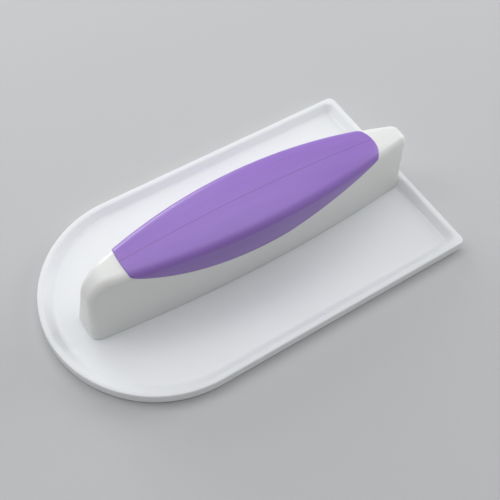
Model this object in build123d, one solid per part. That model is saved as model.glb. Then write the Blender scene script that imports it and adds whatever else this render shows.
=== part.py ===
from build123d import *
import os
from math import atan, cos, degrees, radians, sin, sqrt, tan

# Icing smoother: a D-shaped smoothing plate with a raised rim, a hollow arched handle
# that stands in its recess, and a soft grip moulded over the handle.
# Millimetres. The origin is the middle of the plate's underside. +X is the square end,
# -X the round end and +Z is up.

# Smoothing plate
PLATE_LENGTH = 146.4
PLATE_WIDTH = 84.0
PLATE_CORNER_RADIUS = 2.5
FLOOR_THICKNESS = 2.3
UNDERSIDE_EDGE_RADIUS = 1.4

# Rim round the plate's recess, and the ramp that climbs to it from the floor
RIM_HEIGHT = 5.1
RIM_WIDTH = 2.0
RIM_EDGE_RADIUS = 0.5
RIM_LIP_RADIUS = 1.5
RAMP_LENGTH = 2.7
RECESS_CORNER_RADIUS = 1.2
RECESS_COVE_RADIUS = 2.0

# Handle outline: a slim lens at the foot and a fuller one at the shoulder, both widest
# at the same place. Both ends lean towards the square end of the plate.
HANDLE_LENGTH = 131.1
HEEL_SETBACK = 2.4
WIDEST_TO_HEEL = 63.8
FOOT_WIDTH = 21.4
FOOT_BOW_RADIUS = 560.0
GRIP_WIDTH = 25.9
GRIP_BOW_RADIUS = 214.0
SHOULDER_DROP = 3.8
NOSE_LEAN_ANGLE = 6.0
HEEL_LEAN_ANGLE = 3.2

# Handle top, as it lies beside the grip
CREST_HEIGHT = 33.0
ARCH_RADIUS = 400.0
CROWN_RADIUS = 52.0
NOSE_RADIUS = 11.5
HEEL_RADIUS = 4.2
HANDLE_EDGE_RADIUS = 3.2
FOOT_EDGE_CHAMFER = 0.35

# Inside of the handle: its wall, the cross ribs, and the socket on each rib
HANDLE_WALL = 2.2
INNER_EDGE_RADIUS = 0.8
HEEL_CLEARANCE = 0.1
SOCKET_COUNT = 3
RIB_THICKNESS = 1.6
RIB_FOOT_GAP = 3.0
SOCKET_DIAMETER = 7.2
SOCKET_HEIGHT = 11.0
SOCKET_FOOT_GAP = 0.3

# Pegs on the plate that the sockets take, and the rail inside the handle's foot
PEG_DIAMETER = 4.0
PEG_HEIGHT = 8.0
PEG_CLEARANCE = 0.1
PEG_END_GAP = 0.5
RAIL_HEIGHT = 1.4
RAIL_WIDTH = 1.2
RAIL_CLEARANCE = 0.35

# Soft grip
GRIP_LENGTH = 102.2
GRIP_HEEL_GAP = 13.2
GRIP_THICKNESS = 2.2
GRIP_STEP = 0.45
GRIP_NOSE_CAP_RADIUS = 34.0
GRIP_HEEL_CAP_RADIUS = 11.5
GRIP_HEEL_CAP_ANGLE = 62.0
GRIP_CORNER_RADIUS = 2.4
BOND_GAP = 0.03

# Plugs of the grip's material that lock it through the handle's top
ANCHOR_COUNT = 4
ANCHOR_DIAMETER = 4.0

# The grip's lower edge on each side: one arc down from its nose end to the lowest point
# at the middle, and a tighter one that runs out into a straight rise to its heel end.
SKIRT_DROP = 15.1
SKIRT_NOSE_RADIUS = 118.0
SKIRT_HEEL_RADIUS = 60.0
SKIRT_HEEL_ANGLE = 12.5

# Working sizes: how far cuts run past what they cut, how far the handle's blank and the
# line of its ends run past its foot, how thick the block is that trims it, and how
# square to Y a face or edge is that counts as a side's.
OVERRUN = 1.0
BLANK_REACH = 4.0
TRIM_DEPTH = 24.0
SIDE_SHARE = 0.8

# Places worked out from the sizes above
SQUARE_END_X = PLATE_LENGTH / 2
ROUND_END_X = -PLATE_LENGTH / 2
HEEL_X = SQUARE_END_X - HEEL_SETBACK
NOSE_X = HEEL_X - HANDLE_LENGTH
WIDEST_X = HEEL_X - WIDEST_TO_HEEL
GRIP_HEEL_X = HEEL_X - GRIP_HEEL_GAP
GRIP_NOSE_X = GRIP_HEEL_X - GRIP_LENGTH
GRIP_MIDDLE_X = (GRIP_NOSE_X + GRIP_HEEL_X) / 2
SHOULDER_HEIGHT = CREST_HEIGHT - SHOULDER_DROP
SKIRT_HEIGHT = CREST_HEIGHT - SKIRT_DROP
CORE_END_INSET = GRIP_HEEL_GAP / 2
BLANK_TOP = CREST_HEIGHT + GRIP_STEP + OVERRUN


def d_outline(half, square):
    """D-shaped outline about the plate's round end, out to a straight square end."""
    centre = ROUND_END_X + PLATE_WIDTH / 2
    return make_face([
        Line((centre, -half), (square, -half)),
        Line((square, -half), (square, half)),
        Line((square, half), (centre, half)),
        ThreePointArc((centre, half), (centre - half, 0), (centre, -half)),
    ])


def recess():
    """The tray's hollow, with one ramp all round from its coved floor to the rim."""
    depth = RIM_HEIGHT - FLOOR_THICKNESS
    slope = RAMP_LENGTH / depth
    grow = OVERRUN * slope - RIM_WIDTH
    outline = d_outline(PLATE_WIDTH / 2 + grow, SQUARE_END_X + grow)
    corner_radius = RECESS_CORNER_RADIUS + slope * (depth + OVERRUN)
    mouth = fillet(outline.vertices().sort_by(Axis.X)[-2:], corner_radius)
    mouth = Pos(0, 0, RIM_HEIGHT + OVERRUN) * mouth
    hollow = extrude(mouth, -(depth + OVERRUN), taper=degrees(atan(slope)))
    return fillet(hollow.faces().sort_by(Axis.Z)[0].edges(), RECESS_COVE_RADIUS)


def bow(radius, half, x):
    """Half the width at a place along a lens outline, given its widest half width."""
    return half - radius + sqrt(radius ** 2 - (x - WIDEST_X) ** 2)


def foot_outline(inset):
    """The handle's lens-shaped foot with straight ends, drawn in by an inset."""
    nose = NOSE_X + inset
    heel = HEEL_X - inset
    lens = [(x, bow(FOOT_BOW_RADIUS, FOOT_WIDTH / 2, x) - inset) for x in (nose, WIDEST_X, heel)]
    (nose, nose_y), _, (heel, heel_y) = lens
    outline = make_face([
        ThreePointArc(*lens),
        Line((heel, heel_y), (heel, -heel_y)),
        ThreePointArc(*[(x, -y) for x, y in reversed(lens)]),
        Line((nose, -nose_y), (nose, nose_y)),
    ])
    return fillet(outline.vertices(), max(HANDLE_EDGE_RADIUS - inset, INNER_EDGE_RADIUS))


def locating_rail():
    """Low wall on the floor that the open foot of the handle drops over."""
    inset = HANDLE_WALL + RAIL_CLEARANCE
    rail = foot_outline(inset) - foot_outline(inset + RAIL_WIDTH)
    return extrude(Pos(0, 0, FLOOR_THICKNESS) * rail, RAIL_HEIGHT)


def upright(diameter, height, x, foot):
    """Round upright on the handle's centre line."""
    post = Cylinder(diameter / 2, height, align=(Align.CENTER, Align.CENTER, Align.MIN))
    return Pos(x, 0, foot) * post


def socket_places():
    """Places along the handle of its sockets, ribs and pegs, evenly spread."""
    pitch = HANDLE_LENGTH / SOCKET_COUNT
    return [NOSE_X + pitch / 2 + pitch * i for i in range(SOCKET_COUNT)]


def make_base_plate():
    """Smoothing plate with its rim, locating rail and pegs."""
    outline = d_outline(PLATE_WIDTH / 2, SQUARE_END_X)
    square_corners = outline.vertices().sort_by(Axis.X)[-2:]
    plate = extrude(fillet(square_corners, PLATE_CORNER_RADIUS), RIM_HEIGHT)
    plate = fillet(plate.faces().sort_by(Axis.Z)[0].edges(), UNDERSIDE_EDGE_RADIUS)
    plate = fillet(plate.faces().sort_by(Axis.Z)[-1].edges(), RIM_EDGE_RADIUS)
    plate = plate - recess()
    lip = plate.faces().sort_by(Axis.Z)[-1].inner_wires()[0].edges()
    plate = fillet(lip, RIM_LIP_RADIUS)
    plate = plate + locating_rail()
    for x in socket_places():
        plate = plate + upright(PEG_DIAMETER, PEG_HEIGHT, x, FLOOR_THICKNESS)
    return plate


def arch_height(x, inset):
    """Height of the handle's crest line at a place along it."""
    radius = ARCH_RADIUS - inset
    return CREST_HEIGHT - inset - radius + sqrt(radius ** 2 - x ** 2)


def crown_sag(half):
    """How far the crown falls from its crest to a place across the handle."""
    return CROWN_RADIUS - sqrt(CROWN_RADIUS ** 2 - half ** 2)


def end_line(foot_x, lean_angle, top_inset):
    """Foot and top of a leaning end of the handle, in the XZ plane."""
    lean = tan(radians(lean_angle))
    top_x = foot_x + lean * (arch_height(foot_x, top_inset) - FLOOR_THICKNESS)
    foot = (foot_x - lean * BLANK_REACH, FLOOR_THICKNESS - BLANK_REACH)
    return foot, (top_x, arch_height(top_x, top_inset))


def top_line(top_inset, end_inset):
    """Line up the nose, along the arch and down the heel, in the XZ plane."""
    nose_foot, nose_top = end_line(NOSE_X + end_inset, NOSE_LEAN_ANGLE, top_inset)
    heel_foot, heel_top = end_line(HEEL_X - end_inset, HEEL_LEAN_ANGLE, top_inset)
    profile = make_face([
        Line(nose_foot, nose_top),
        ThreePointArc(nose_top, (0, arch_height(0, top_inset)), heel_top),
        Line(heel_top, heel_foot),
        Line(heel_foot, nose_foot),
    ])
    least_radius = crown_sag(GRIP_WIDTH / 2 + OVERRUN) + INNER_EDGE_RADIUS
    for top, radius in ((nose_top, NOSE_RADIUS), (heel_top, HEEL_RADIUS)):
        corner = profile.vertices().sort_by_distance((*top, 0))[0]
        profile = fillet(corner, max(radius - end_inset, least_radius))
    foot_edge = profile.edges().sort_by(Axis.Y)[0]
    upper_edges = [edge for edge in profile.edges() if edge != foot_edge]
    return Wire([Plane.XZ * edge for edge in upper_edges])


def crown_trim(line):
    """Everything outside the crowned top, nose and heel, swept along their line."""
    start = line @ 0
    outward = 1 if start.X > 0 else -1
    half = GRIP_WIDTH / 2 + 2 * OVERRUN
    sag = crown_sag(half)
    section = make_face([
        ThreePointArc((-sag, -half), (0, 0), (-sag, half)),
        Line((-sag, half), (TRIM_DEPTH, half)),
        Line((TRIM_DEPTH, half), (TRIM_DEPTH, -half)),
        Line((TRIM_DEPTH, -half), (-sag, -half)),
    ])
    plane = Plane(origin=start, x_dir=(outward, 0, 0), z_dir=line % 0)
    return sweep(plane * section, path=line)


def top_half_width(x):
    """Half the handle's width at its blank's top, on the line from foot to shoulder."""
    foot = bow(FOOT_BOW_RADIUS, FOOT_WIDTH / 2, x)
    shoulder = bow(GRIP_BOW_RADIUS, GRIP_WIDTH / 2, x)
    flare = (shoulder - foot) / (SHOULDER_HEIGHT - FLOOR_THICKNESS)
    return foot + flare * (BLANK_TOP - FLOOR_THICKNESS)


def side_walls(inset):
    """Tall block between the handle's sides, ruled from the foot's bow to the top's."""
    nose = NOSE_X - BLANK_REACH
    heel = HEEL_X + BLANK_REACH
    back = -GRIP_WIDTH
    stations = (nose, WIDEST_X, heel)
    foot_bow = [(x, bow(FOOT_BOW_RADIUS, FOOT_WIDTH / 2, x) - inset) for x in stations]
    top_bow = [(x, top_half_width(x) - inset) for x in stations]
    levels = []
    for level_bow, height in ((foot_bow, FLOOR_THICKNESS), (top_bow, BLANK_TOP)):
        level = make_face([
            ThreePointArc(*level_bow),
            Line(level_bow[-1], (heel, back)),
            Line((heel, back), (nose, back)),
            Line((nose, back), level_bow[0]),
        ])
        levels.append(Pos(0, 0, height) * level)
    block = loft(levels, ruled=True)
    return block & mirror(block, Plane.XZ)


def handle_form(inset, top_inset, end_inset):
    """The handle's rounded outer form, or the same form drawn in by insets."""
    form = side_walls(inset) - crown_trim(top_line(top_inset, end_inset))
    foot = form.faces().sort_by(Axis.Z)[0]
    sides = [face for face in form.faces() if abs(face.normal_at().Y) > SIDE_SHARE]
    skin = [face for face in form.faces() if face != foot and face not in sides]
    skin_edges = [edge for face in skin for edge in face.edges()]
    rims = [edge for face in sides for edge in face.edges() if edge in skin_edges]
    return fillet(rims, max(HANDLE_EDGE_RADIUS - inset, INNER_EDGE_RADIUS))


def grip_side():
    """The grip's reach as seen from the side: the skirt's curve, and up past the top."""
    reach = GRIP_MIDDLE_X - GRIP_NOSE_X
    nose_rise = SKIRT_NOSE_RADIUS - sqrt(SKIRT_NOSE_RADIUS ** 2 - reach ** 2)
    angle = radians(SKIRT_HEEL_ANGLE)
    lowest = (GRIP_MIDDLE_X, SKIRT_HEIGHT)
    nose_end = (GRIP_NOSE_X, SKIRT_HEIGHT + nose_rise)
    bend_x = GRIP_MIDDLE_X + SKIRT_HEEL_RADIUS * sin(angle)
    bend_end = (bend_x, SKIRT_HEIGHT + SKIRT_HEEL_RADIUS * (1 - cos(angle)))
    heel_end = (GRIP_HEEL_X, bend_end[1] + (GRIP_HEEL_X - bend_x) * tan(angle))
    top = BLANK_TOP + OVERRUN
    side = make_face([
        TangentArc(lowest, nose_end, tangent=(-1, 0)),
        TangentArc(lowest, bend_end, tangent=(1, 0)),
        Line(bend_end, heel_end),
        Line(heel_end, (GRIP_HEEL_X, top)),
        Line((GRIP_HEEL_X, top), (GRIP_NOSE_X, top)),
        Line((GRIP_NOSE_X, top), nose_end),
    ])
    corners = [side.vertices().sort_by_distance((*end, 0))[0] for end in (nose_end, heel_end)]
    return fillet(corners, GRIP_CORNER_RADIUS)


def grip_plan():
    """The grip's reach as seen from above: a shallow nose cap and a round heel cap."""
    half = GRIP_WIDTH / 2 + OVERRUN
    nose_x = GRIP_NOSE_X + GRIP_NOSE_CAP_RADIUS - sqrt(GRIP_NOSE_CAP_RADIUS ** 2 - half ** 2)
    cap_centre_x = GRIP_HEEL_X - GRIP_HEEL_CAP_RADIUS
    cap_angle = radians(GRIP_HEEL_CAP_ANGLE)
    cap_x = cap_centre_x + GRIP_HEEL_CAP_RADIUS * cos(cap_angle)
    cap_y = GRIP_HEEL_CAP_RADIUS * sin(cap_angle)
    side_x = cap_x - (half - cap_y) * tan(cap_angle)
    return make_face([
        ThreePointArc((nose_x, half), (GRIP_NOSE_X, 0), (nose_x, -half)),
        Line((nose_x, -half), (side_x, -half)),
        Line((side_x, -half), (cap_x, -cap_y)),
        ThreePointArc((cap_x, -cap_y), (GRIP_HEEL_X, 0), (cap_x, cap_y)),
        Line((cap_x, cap_y), (side_x, half)),
        Line((side_x, half), (nose_x, half)),
    ])


def grip_zone(margin):
    """Block round the part of the handle that the grip covers, grown by a margin."""
    side = grip_side()
    plan = grip_plan()
    if margin != 0:
        side = offset(side, margin)
        plan = offset(plan, margin)
    block = extrude(Plane.XZ * side, GRIP_WIDTH, both=True)
    return block & extrude(plan, BLANK_TOP + 2 * OVERRUN)


def anchors(diameter):
    """Round plugs along the crest, from the grip down through the handle's top."""
    pitch = GRIP_LENGTH / ANCHOR_COUNT
    places = [GRIP_NOSE_X + pitch / 2 + pitch * i for i in range(ANCHOR_COUNT)]
    length = HANDLE_WALL + GRIP_THICKNESS / 2
    return [
        upright(diameter, length, x, arch_height(x, GRIP_THICKNESS + HANDLE_WALL))
        for x in places
    ]


def handle_cavity():
    """The handle's hollow, which is deeper under the seat of the grip."""
    under_seat = grip_zone(HANDLE_WALL)
    deep = GRIP_THICKNESS + HANDLE_WALL
    cavity = handle_form(HANDLE_WALL, HANDLE_WALL, HANDLE_WALL) - under_seat
    return cavity + (handle_form(deep, deep, GRIP_HEEL_GAP) & under_seat)


def ribs_and_sockets():
    """Cross ribs over the whole hollow, each with a socket for a peg of the plate."""
    foot = FLOOR_THICKNESS + RIB_FOOT_GAP
    rib_height = BLANK_TOP - foot
    rib = Box(RIB_THICKNESS, GRIP_WIDTH, rib_height, align=(Align.CENTER, Align.CENTER, Align.MIN))
    inside = Part()
    for x in socket_places():
        inside = inside + Pos(x, 0, foot) * rib
        inside = inside + upright(SOCKET_DIAMETER, SOCKET_HEIGHT, x, FLOOR_THICKNESS + SOCKET_FOOT_GAP)
    return inside


def make_handle_body():
    """Hollow arched handle, open at the foot, with a seat moulded in for the grip."""
    seat = grip_zone(0)
    core = handle_form(GRIP_THICKNESS, GRIP_THICKNESS, CORE_END_INSET)
    outside = handle_form(0, 0, 0)
    foot_edges = outside.faces().sort_by(Axis.Z)[0].edges()
    body = chamfer(foot_edges, FOOT_EDGE_CHAMFER) - seat + (core & seat)
    cavity = handle_cavity()
    body = body - cavity + (ribs_and_sockets() & cavity)
    for x in socket_places():
        bore = PEG_HEIGHT + PEG_END_GAP
        body = body - upright(PEG_DIAMETER + 2 * PEG_CLEARANCE, bore, x, FLOOR_THICKNESS)
    for hole in anchors(ANCHOR_DIAMETER + 2 * BOND_GAP):
        body = body - hole
    heel_end = Pos(SQUARE_END_X - HEEL_CLEARANCE, 0, 0) * Box(
        2 * (RIM_WIDTH + RAMP_LENGTH + RECESS_COVE_RADIUS), 2 * FOOT_WIDTH, 2 * RIM_HEIGHT
    )
    ramp = heel_end - Pos(-HEEL_CLEARANCE, 0, 0) * recess()
    return body - ramp


def make_soft_grip():
    """Soft skin that wraps the handle's top and runs down its sides."""
    bonded_inset = GRIP_THICKNESS - BOND_GAP
    grip = handle_form(0, -GRIP_STEP, 0) & grip_zone(-BOND_GAP)
    grip = grip - handle_form(bonded_inset, bonded_inset, CORE_END_INSET)
    for plug in anchors(ANCHOR_DIAMETER):
        grip = grip + plug
    return grip


def main():
    os.makedirs("parts", exist_ok=True)
    export_step(make_base_plate(), "parts/base_plate.step")
    export_step(make_handle_body(), "parts/handle_body.step")
    export_step(make_soft_grip(), "parts/soft_grip.step")


if __name__ == "__main__":
    main()
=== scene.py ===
"""Icing smoother: its moulded finishes, soft grip and studio stage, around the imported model."""

from math import radians

import bmesh
import bpy
from mathutils import Matrix, Vector


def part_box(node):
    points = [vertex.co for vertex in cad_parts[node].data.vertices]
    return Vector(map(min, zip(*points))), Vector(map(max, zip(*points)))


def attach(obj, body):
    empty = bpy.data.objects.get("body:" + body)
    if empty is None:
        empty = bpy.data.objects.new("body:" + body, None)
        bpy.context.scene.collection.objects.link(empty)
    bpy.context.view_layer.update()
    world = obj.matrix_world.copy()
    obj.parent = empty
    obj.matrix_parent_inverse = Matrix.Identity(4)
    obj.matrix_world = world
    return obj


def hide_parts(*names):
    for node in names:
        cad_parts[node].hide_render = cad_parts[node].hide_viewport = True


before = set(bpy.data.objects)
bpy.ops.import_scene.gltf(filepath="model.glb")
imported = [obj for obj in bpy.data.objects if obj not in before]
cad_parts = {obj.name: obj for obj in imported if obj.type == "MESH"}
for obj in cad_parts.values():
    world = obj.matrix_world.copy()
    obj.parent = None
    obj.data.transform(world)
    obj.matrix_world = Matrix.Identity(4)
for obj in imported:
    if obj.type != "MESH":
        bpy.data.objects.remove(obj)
bpy.context.view_layer.update()

bl_info = {
    "name": "Icing Smoother",
    "version": (1, 0, 0),
    "blender": (4, 5, 0),
    "location": "3D View > Sidebar > Smoother",
    "description": "Finishes an icing smoother's plate, handle and soft grip, and sets its stage",
    "category": "Object",
}

MM = 0.001
RIM_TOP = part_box("base_plate")[1].z
HANDLE_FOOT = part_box("handle_body")[0].z

# Where the photograph was taken from: the camera's place, and the way it is turned
CAMERA_PLACE = Vector((-97.497, -141.824, 260.545)) * MM
CAMERA_RIGHT = Vector((0.838248, -0.543924, 0.038544))
CAMERA_UP = Vector((0.434816, 0.709407, 0.554686))
CAMERA_BACK = Vector((-0.329051, -0.448205, 0.831167))
CAMERA_LENS = 61.6544

# Each softbox's place and the length of its side, in metres
SOFTBOXES = {
    "overhead": ((0.0, 0.0, 0.9), 1.2),
    "gloss": ((0.30, 0.44, 0.80), 0.6),
    "key": ((-0.45, 0.45, 0.64), 0.5),
    "rear": ((0.0, 0.85, 0.30), 0.5),
    "side": ((0.85, 0.0, 0.30), 0.5),
}
FLOOR_SIZE = 6.0
FLOOR_DROP = 0.02 * MM
FLOOR_TOOTH_SIZE = 1.5 * MM
FLOOR_TOOTH_DEPTH = 0.02 * MM

PLASTIC_IOR = 1.49
MOTTLE_SIZE = 40 * MM
SMUDGE_SIZE = 17 * MM
SMUDGE_MATT = 0.03
WAVE_SIZE = 30 * MM
WAVE_DEPTH = 0.01 * MM

# Scuffs run along the smoothing face, and fade out where its edge turns up
SCUFF_SIZE = 1.2 * MM
SCUFF_STRETCH = (0.05, 2.2, 1.0)
SCUFF_FADE = (0.1 * MM, 0.6 * MM)
SCUFF_MATT = 0.18
SCUFF_TONE = 0.94
SCUFF_DEPTH = 0.01 * MM

# The rim's lips are rubbed a little more matt
LIP_FADE = (RIM_TOP - 0.4 * MM, RIM_TOP - 0.05 * MM)
LIP_PATCH_SIZE = 3 * MM
LIP_MATT = 0.12

# The handle darkens just above where it meets the plate: partly grime, partly painted shade in
# the crease between the parts
JOINT_FADE = (HANDLE_FOOT + 0.05 * MM, HANDLE_FOOT + 0.5 * MM)
JOINT_GRIME_AND_SHADE_TONE = 0.55
JOINT_MATT = 0.2

RUBBER_IOR = 1.55
FLOW_SIZE = 5 * MM
FLOW_STRETCH = (0.12, 1.0, 1.0)
FLOW_TONES = (0.97, 1.03)
RUB_SIZE = 14 * MM
RUB_MATT = 0.06
GRAIN_SIZE = 0.28 * MM
GRAIN_MATT = 0.06
GRAIN_DEPTH = 0.008 * MM
SWELL_SIZE = 18 * MM
SWELL_DEPTH = 0.03 * MM
# The parting line's groove is darkened in the base colour: painted shade
PARTING_LINE_SHADE_TONE = 0.5
PARTING_LINE_DEPTH = 0.03 * MM

# The grip's mesh: which edges count as sharp, and how its lips are cleaned and rounded
SHARP_ANGLE = radians(35)
WELD_DISTANCE = 0.001 * MM
SLIVER_LENGTH = 0.01 * MM
LIP_SPACING = 1.5
LIP_SEGMENTS = 3


# ---------------------------------------------------------------- shader maths


class Reading:
    """What a node gives, which takes Python's arithmetic where it is a number."""

    def __init__(self, shading, socket):
        self.shading = shading
        self.socket = socket

    def maths(self, operation, *values):
        return self.shading.add(
            "ShaderNodeMath", {"operation": operation}, dict(enumerate(values))
        )

    def __add__(self, other):
        return self.maths("ADD", self, other)

    def __rsub__(self, other):
        return self.maths("SUBTRACT", other, self)

    def __mul__(self, other):
        return self.maths("MULTIPLY", self, other)

    __radd__ = __add__

    def __abs__(self):
        return self.maths("ABSOLUTE", self)

    def step(self, start, end):
        """0 at start and 1 at end, with a soft run between them."""
        return self.shading.add(
            "ShaderNodeMapRange",
            {"interpolation_type": "SMOOTHSTEP"},
            {"Value": self, "From Min": start, "From Max": end},
        )


class Shading:
    """A node tree that is built up node by node."""

    def __init__(self, tree):
        self.tree = tree
        tree.nodes.clear()

    def add(self, kind, settings=None, inputs=None, output=0):
        """Adds a node, with its settings first and then its values and links."""
        node = self.tree.nodes.new(kind)
        for name, value in (settings or {}).items():
            setattr(node, name, value)
        for key, value in (inputs or {}).items():
            socket = self.find(node.inputs, key)
            if isinstance(value, Reading):
                self.tree.links.new(value.socket, socket)
            else:
                socket.default_value = value
        if len(node.outputs) == 0:
            return None
        return Reading(self, self.find(node.outputs, output))

    @staticmethod
    def find(sockets, key):
        """The socket with that number, identifier or name."""
        if isinstance(key, int):
            return sockets[key]
        return next((s for s in sockets if s.identifier == key), None) or sockets[key]

    def shown(self):
        """1 where the camera or a mirrored ray looks, and 0 where light is thrown about."""
        seen = self.add("ShaderNodeLightPath", output="Is Camera Ray")
        mirrored = self.add("ShaderNodeLightPath", output="Is Glossy Ray")
        return seen + mirrored


class Finish(Shading):
    """The material of one piece."""

    def __init__(self, name):
        self.material = bpy.data.materials.new(name)
        self.material.use_nodes = True
        super().__init__(self.material.node_tree)

    def place(self):
        """The place on the object, in metres."""
        return self.add("ShaderNodeTexCoord", output="Object")

    def along(self, place, axis):
        """One coordinate of a place."""
        return self.add("ShaderNodeSeparateXYZ", inputs={0: place}, output=axis)

    def stretched(self, place, scale):
        """A place stretched along its axes, so that a pattern on it runs one way."""
        return self.add("ShaderNodeMapping", inputs={"Vector": place, "Scale": scale})

    def cloud(self, place, feature, detail=2.0, roughness=0.5):
        """Soft random patches of a given size in metres, about 0.5."""
        return self.add(
            "ShaderNodeTexNoise",
            inputs={
                "Vector": place,
                "Scale": 1 / feature,
                "Detail": detail,
                "Roughness": roughness,
            },
        )

    def blend(self, share, first, second):
        """A colour between two, by a share that varies over the surface."""
        return self.add(
            "ShaderNodeMix",
            {"data_type": "RGBA"},
            {"Factor_Float": share, "A_Color": first, "B_Color": second},
            "Result_Color",
        )

    def relief(self, height, depth, below=None):
        """A normal that follows a height of 0 to 1 over that depth in metres."""
        inputs = {"Height": height, "Distance": depth, "Strength": 1.0}
        if below is not None:
            inputs["Normal"] = below
        return self.add("ShaderNodeBump", inputs=inputs)

    def close(self, **inputs):
        """Ends the material with its shader."""
        shader = self.add(
            "ShaderNodeBsdfPrincipled",
            inputs={name.replace("_", " "): value for name, value in inputs.items()},
        )
        self.add("ShaderNodeOutputMaterial", inputs={"Surface": shader})
        return self.material


def opaque(colour, tone=1.0):
    """A colour as a node takes it, lighter or darker by a tone."""
    return (*[channel * tone for channel in colour], 1.0)


def dress(node, material):
    """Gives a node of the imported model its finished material."""
    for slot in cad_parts[node].material_slots:
        slot.material = material


# ------------------------------------------------------------ white plastic


def moulded_gloss(finish, place, white, settings):
    """What every white moulding has: faint mottling, smudges, and a soft waviness."""
    mottle = finish.cloud(place, MOTTLE_SIZE).step(0.3, 0.7)
    colour = finish.blend(mottle, opaque(white), opaque(white, settings.mottle_tone))
    smudge = finish.cloud(place, SMUDGE_SIZE, detail=3.0).step(0.4, 0.8)
    roughness = settings.roughness + smudge * SMUDGE_MATT
    skin = finish.relief(finish.cloud(place, WAVE_SIZE, detail=0.0), WAVE_DEPTH)
    return colour, roughness, skin


def plate_plastic(settings):
    """Gloss white plastic of the plate, scuffed on the face that slides on icing."""
    finish = Finish("plate_plastic")
    place = finish.place()
    white = settings.plate_colour
    colour, roughness, skin = moulded_gloss(finish, place, white, settings)
    height = finish.along(place, "Z")
    slides = finish.cloud(
        finish.stretched(place, SCUFF_STRETCH), SCUFF_SIZE, detail=5.0, roughness=0.7
    )
    scuffs = slides.step(0.58, 0.7) * (1 - height.step(*SCUFF_FADE))
    lip = height.step(*LIP_FADE) * finish.cloud(place, LIP_PATCH_SIZE, detail=4.0)
    return finish.close(
        Base_Color=finish.blend(scuffs * 0.5, colour, opaque(white, SCUFF_TONE)),
        Roughness=roughness + scuffs * SCUFF_MATT + lip * LIP_MATT,
        Normal=finish.relief(1 - scuffs, SCUFF_DEPTH, skin),
        IOR=PLASTIC_IOR,
    )


def handle_plastic(settings):
    """Gloss white plastic of the handle, darkened just above where it meets the plate: partly
    grime, partly painted shade in the crease.
    """
    finish = Finish("handle_plastic")
    place = finish.place()
    white = settings.handle_colour
    colour, roughness, skin = moulded_gloss(finish, place, white, settings)
    foot_grime_and_shade = 1 - finish.along(place, "Z").step(*JOINT_FADE)
    return finish.close(
        # The base colour darkens at the foot: painted shade in the crease, with some grime
        Base_Color=finish.blend(foot_grime_and_shade * 0.8, colour, opaque(white, JOINT_GRIME_AND_SHADE_TONE)),
        Roughness=roughness + foot_grime_and_shade * JOINT_MATT,
        Normal=skin,
        IOR=PLASTIC_IOR,
    )


# --------------------------------------------------------------- soft grip


def outer_skin(shape):
    """The faces reached from the crest without crossing a sharp edge."""
    crest = max(shape.faces, key=lambda face: face.calc_center_median().z)
    reached, front = {crest}, [crest]
    while front:
        for edge in front.pop().edges:
            if edge.calc_face_angle() < SHARP_ANGLE:
                fresh = set(edge.link_faces) - reached
                reached |= fresh
                front.extend(fresh)
    return reached


def skin_lips(shape):
    """The edges all round the skin's outside, where it turns in to the handle's seat."""
    skin = outer_skin(shape)
    return [
        edge for edge in shape.edges if len(skin.intersection(edge.link_faces)) == 1
    ]


def even_out_lips(shape, spacing):
    """Merges the corners along the lips that are too close together to round."""
    lips = {corner for edge in skin_lips(shape) for corner in edge.verts}
    close = {
        corner
        for edge in shape.edges
        if edge.calc_length() < spacing and lips.intersection(edge.verts)
        for corner in edge.verts
    }
    bmesh.ops.remove_doubles(shape, verts=list(lips | close), dist=spacing)
    bmesh.ops.dissolve_degenerate(shape, edges=shape.edges, dist=SLIVER_LENGTH)


def grip_skin(settings):
    """The moulded skin, with its lips rounded over."""
    shape = bmesh.new()
    shape.from_mesh(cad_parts["soft_grip"].data)
    bmesh.ops.remove_doubles(shape, verts=shape.verts, dist=WELD_DISTANCE)
    even_out_lips(shape, LIP_SPACING * settings.lip_radius)
    bmesh.ops.bevel(
        shape,
        geom=skin_lips(shape),
        offset=settings.lip_radius,
        affect="EDGES",
        segments=LIP_SEGMENTS,
        profile=0.5,
        clamp_overlap=False,
        material=-1,
    )
    for face in shape.faces:
        face.smooth = True
    mesh = bpy.data.meshes.new("grip_skin")
    shape.to_mesh(mesh)
    shape.free()
    skin = bpy.data.objects.new("grip_skin", mesh)
    bpy.context.scene.collection.objects.link(skin)
    return skin


def grip_rubber(settings):
    """Satin soft-touch skin with a fine grain, and a parting line along its crest whose groove is
    darkened with painted shade.
    """
    finish = Finish("grip_rubber")
    place = finish.place()
    flow = finish.cloud(finish.stretched(place, FLOW_STRETCH), FLOW_SIZE, detail=3.0)
    dark, light = (opaque(settings.colour, tone) for tone in FLOW_TONES)
    colour = finish.blend(flow.step(0.3, 0.7), dark, light)
    line = 1 - abs(finish.along(place, "Y")).step(0.0, settings.parting_line_width)
    # Darkens the colour along the crest: painted shade in the parting line's groove
    colour = finish.blend(
        line * 0.6, colour, opaque(settings.colour, PARTING_LINE_SHADE_TONE)
    )
    rubbed = finish.cloud(place, RUB_SIZE, detail=3.0).step(0.4, 0.75)
    grain = finish.cloud(place, GRAIN_SIZE)
    skin = finish.relief(finish.cloud(place, SWELL_SIZE, detail=1.0), SWELL_DEPTH)
    skin = finish.relief(grain, GRAIN_DEPTH, skin)
    return finish.close(
        Base_Color=colour,
        Roughness=settings.roughness + rubbed * RUB_MATT + grain * GRAIN_MATT,
        Normal=finish.relief(1 - line, PARTING_LINE_DEPTH, skin),
        IOR=RUBBER_IOR,
    )


# ------------------------------------------------------------------- settings


def colour_of(name, description, default):
    return bpy.props.FloatVectorProperty(
        name=name,
        description=description,
        default=default,
        min=0.0,
        max=1.0,
        subtype="COLOR",
    )


def share_of(name, description, default, low=0.0):
    return bpy.props.FloatProperty(
        name=name,
        description=description,
        default=default,
        min=low,
        max=1.0,
        subtype="FACTOR",
    )


def power_of(name, description, default):
    return bpy.props.FloatProperty(
        name=name, description=description, default=default, min=0.0, unit="POWER"
    )


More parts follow.
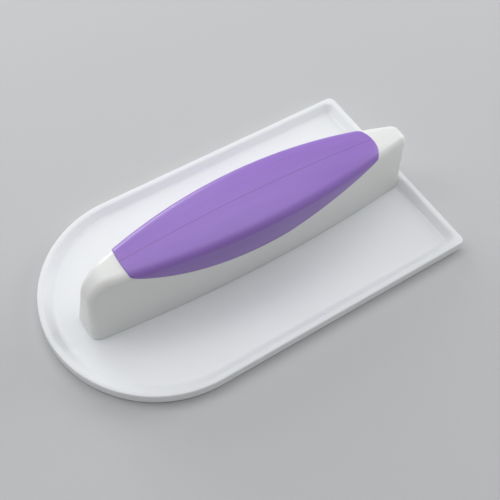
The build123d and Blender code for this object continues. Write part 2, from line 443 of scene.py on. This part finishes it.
class PlasticSettings(bpy.types.PropertyGroup):
    plate_colour: colour_of(
        "Plate colour",
        "Colour of the plate's cool white plastic",
        (0.787, 0.803, 0.826),
    )
    handle_colour: colour_of(
        "Handle colour",
        "Colour of the handle's warmer white plastic",
        (0.80, 0.812, 0.80),
    )
    mottle_tone: share_of(
        "Mottling",
        "How light the darker patches are beside the rest",
        0.985,
        low=0.8,
    )
    roughness: share_of("Roughness", "How matt the clean plastic is", 0.33)


class GripSettings(bpy.types.PropertyGroup):
    colour: colour_of("Colour", "Colour of the soft grip", (0.275, 0.148, 0.530))
    roughness: share_of("Roughness", "How matt the clean grip is", 0.30)
    lip_radius: bpy.props.FloatProperty(
        name="Lip radius",
        description="How far the skin's lips are rounded over",
        default=0.18 * MM,
        min=0.01 * MM,
        max=0.3 * MM,
        unit="LENGTH",
    )
    parting_line_width: bpy.props.FloatProperty(
        name="Parting line",
        description="Half the width of the mould's parting line along the crest",
        default=0.28 * MM,
        min=0.0,
        unit="LENGTH",
    )


class StageSettings(bpy.types.PropertyGroup):
    floor_colour: colour_of("Floor", "Colour of the plain floor", (0.52, 0.525, 0.535))
    floor_bounce: colour_of(
        "Floor bounce",
        "Colour of the light that the floor throws back on the object",
        (0.80, 0.80, 0.79),
    )
    backdrop_colour: colour_of(
        "Backdrop",
        "Colour behind the floor, as the camera and reflections see it",
        (0.62, 0.63, 0.65),
    )
    ambient: share_of("Ambient", "Plain light from all round", 0.20)
    overhead_power: power_of(
        "Overhead softbox", "Power of the large softbox overhead", 4.6
    )
    gloss_power: power_of(
        "Gloss softbox",
        "Power of the softbox that the grip's top mirrors to the camera",
        0.6,
    )
    key_power: power_of(
        "Key softbox", "Power of the softbox high behind and to the left", 1.7
    )
    rear_power: power_of("Rear softbox", "Power of the low softbox behind", 3.5)
    side_power: power_of(
        "Side softbox", "Power of the low softbox beyond the square end", 3.3
    )


# ------------------------------------------------------------------ operators


class SMOOTHER_OT_base_plate(bpy.types.Operator):
    """Finishes the smoothing plate"""

    bl_idname = "smoother.base_plate"
    bl_label = "Base Plate"

    def execute(self, context):
        dress("base_plate", plate_plastic(context.scene.smoother_plastic))
        return {"FINISHED"}


class SMOOTHER_OT_handle_body(bpy.types.Operator):
    """Finishes the hollow handle"""

    bl_idname = "smoother.handle_body"
    bl_label = "Handle Body"

    def execute(self, context):
        dress("handle_body", handle_plastic(context.scene.smoother_plastic))
        return {"FINISHED"}


class SMOOTHER_OT_soft_grip(bpy.types.Operator):
    """Rounds and finishes the soft grip"""

    bl_idname = "smoother.soft_grip"
    bl_label = "Soft Grip"

    def execute(self, context):
        settings = context.scene.smoother_grip
        skin = grip_skin(settings)
        skin.data.materials.append(grip_rubber(settings))
        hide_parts("soft_grip")
        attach(skin, "root")
        return {"FINISHED"}


def hang_softbox(name, place, size, power):
    """A square softbox that faces the object."""
    data = bpy.data.lights.new(name, "AREA")
    data.shape = "SQUARE"
    data.size = size
    data.energy = power
    lamp = bpy.data.objects.new(name, data)
    lamp.location = place
    lamp.rotation_mode = "QUATERNION"
    lamp.rotation_quaternion = Vector(place).to_track_quat("Z", "Y")
    bpy.context.scene.collection.objects.link(lamp)


class SMOOTHER_OT_stage(bpy.types.Operator):
    """Lays the floor, and sets the backdrop, softboxes and camera"""

    bl_idname = "smoother.stage"
    bl_label = "Stage"

    def execute(self, context):
        settings = context.scene.smoother_stage
        self.lay_floor(settings)
        self.hang_backdrop(settings)
        for name, (place, size) in SOFTBOXES.items():
            power = getattr(settings, f"{name}_power")
            hang_softbox(f"{name}_softbox", place, size, power)
        self.set_camera(context)
        return {"FINISHED"}

    def lay_floor(self, settings):
        bpy.ops.mesh.primitive_plane_add(
            size=FLOOR_SIZE, location=(0, 0, -FLOOR_DROP)
        )
        floor = bpy.context.object
        floor.name = "floor"
        finish = Finish("floor_paper")
        tooth = finish.cloud(finish.place(), FLOOR_TOOTH_SIZE, detail=3.0)
        bounce, paper = opaque(settings.floor_bounce), opaque(settings.floor_colour)
        floor.data.materials.append(
            finish.close(
                Base_Color=finish.blend(finish.shown(), bounce, paper),
                Roughness=0.8 + tooth * 0.1,
                Normal=finish.relief(tooth, FLOOR_TOOTH_DEPTH),
            )
        )

    def hang_backdrop(self, settings):
        world = bpy.data.worlds.new("studio")
        world.use_nodes = True
        air = Shading(world.node_tree)
        light = air.add("ShaderNodeBackground", inputs={"Strength": settings.ambient})
        backdrop = air.add(
            "ShaderNodeBackground", inputs={"Color": opaque(settings.backdrop_colour)}
        )
        mixed = air.add(
            "ShaderNodeMixShader", inputs={0: air.shown(), 1: light, 2: backdrop}
        )
        air.add("ShaderNodeOutputWorld", inputs={"Surface": mixed})
        bpy.context.scene.world = world

    def set_camera(self, context):
        data = bpy.data.cameras.new("photo_camera")
        data.lens = CAMERA_LENS
        data.clip_start = 10 * MM
        camera = bpy.data.objects.new("photo_camera", data)
        turn = Matrix((CAMERA_RIGHT, CAMERA_UP, CAMERA_BACK)).transposed()
        camera.rotation_mode = "QUATERNION"
        camera.rotation_quaternion = turn.to_quaternion()
        camera.location = CAMERA_PLACE
        context.scene.collection.objects.link(camera)
        context.scene.camera = camera


class SMOOTHER_PT_panel(bpy.types.Panel):
    """The smoother's pieces and stage, one button each"""

    bl_idname = "SMOOTHER_PT_panel"
    bl_label = "Icing Smoother"
    bl_space_type = "VIEW_3D"
    bl_region_type = "UI"
    bl_category = "Smoother"

    def draw(self, context):
        for group in GROUPS:
            settings = getattr(context.scene, group)
            box = self.layout.box()
            for name in settings.__annotations__:
                box.prop(settings, name)
        for operator in OPERATORS:
            self.layout.operator(operator.bl_idname)


GROUPS = {
    "smoother_plastic": PlasticSettings,
    "smoother_grip": GripSettings,
    "smoother_stage": StageSettings,
}
OPERATORS = (
    SMOOTHER_OT_base_plate,
    SMOOTHER_OT_handle_body,
    SMOOTHER_OT_soft_grip,
    SMOOTHER_OT_stage,
)
CLASSES = (*GROUPS.values(), *OPERATORS, SMOOTHER_PT_panel)


def register():
    for cls in CLASSES:
        bpy.utils.register_class(cls)
    for name, group in GROUPS.items():
        setattr(bpy.types.Scene, name, bpy.props.PointerProperty(type=group))


def unregister():
    for name in GROUPS:
        delattr(bpy.types.Scene, name)
    for cls in reversed(CLASSES):
        bpy.utils.unregister_class(cls)


def main():
    register()
    bpy.context.scene.view_settings.view_transform = "Standard"
    bpy.ops.smoother.base_plate()
    bpy.ops.smoother.handle_body()
    bpy.ops.smoother.soft_grip()
    bpy.ops.smoother.stage()
    bpy.context.view_layer.update()


if __name__ == "__main__":
    main()
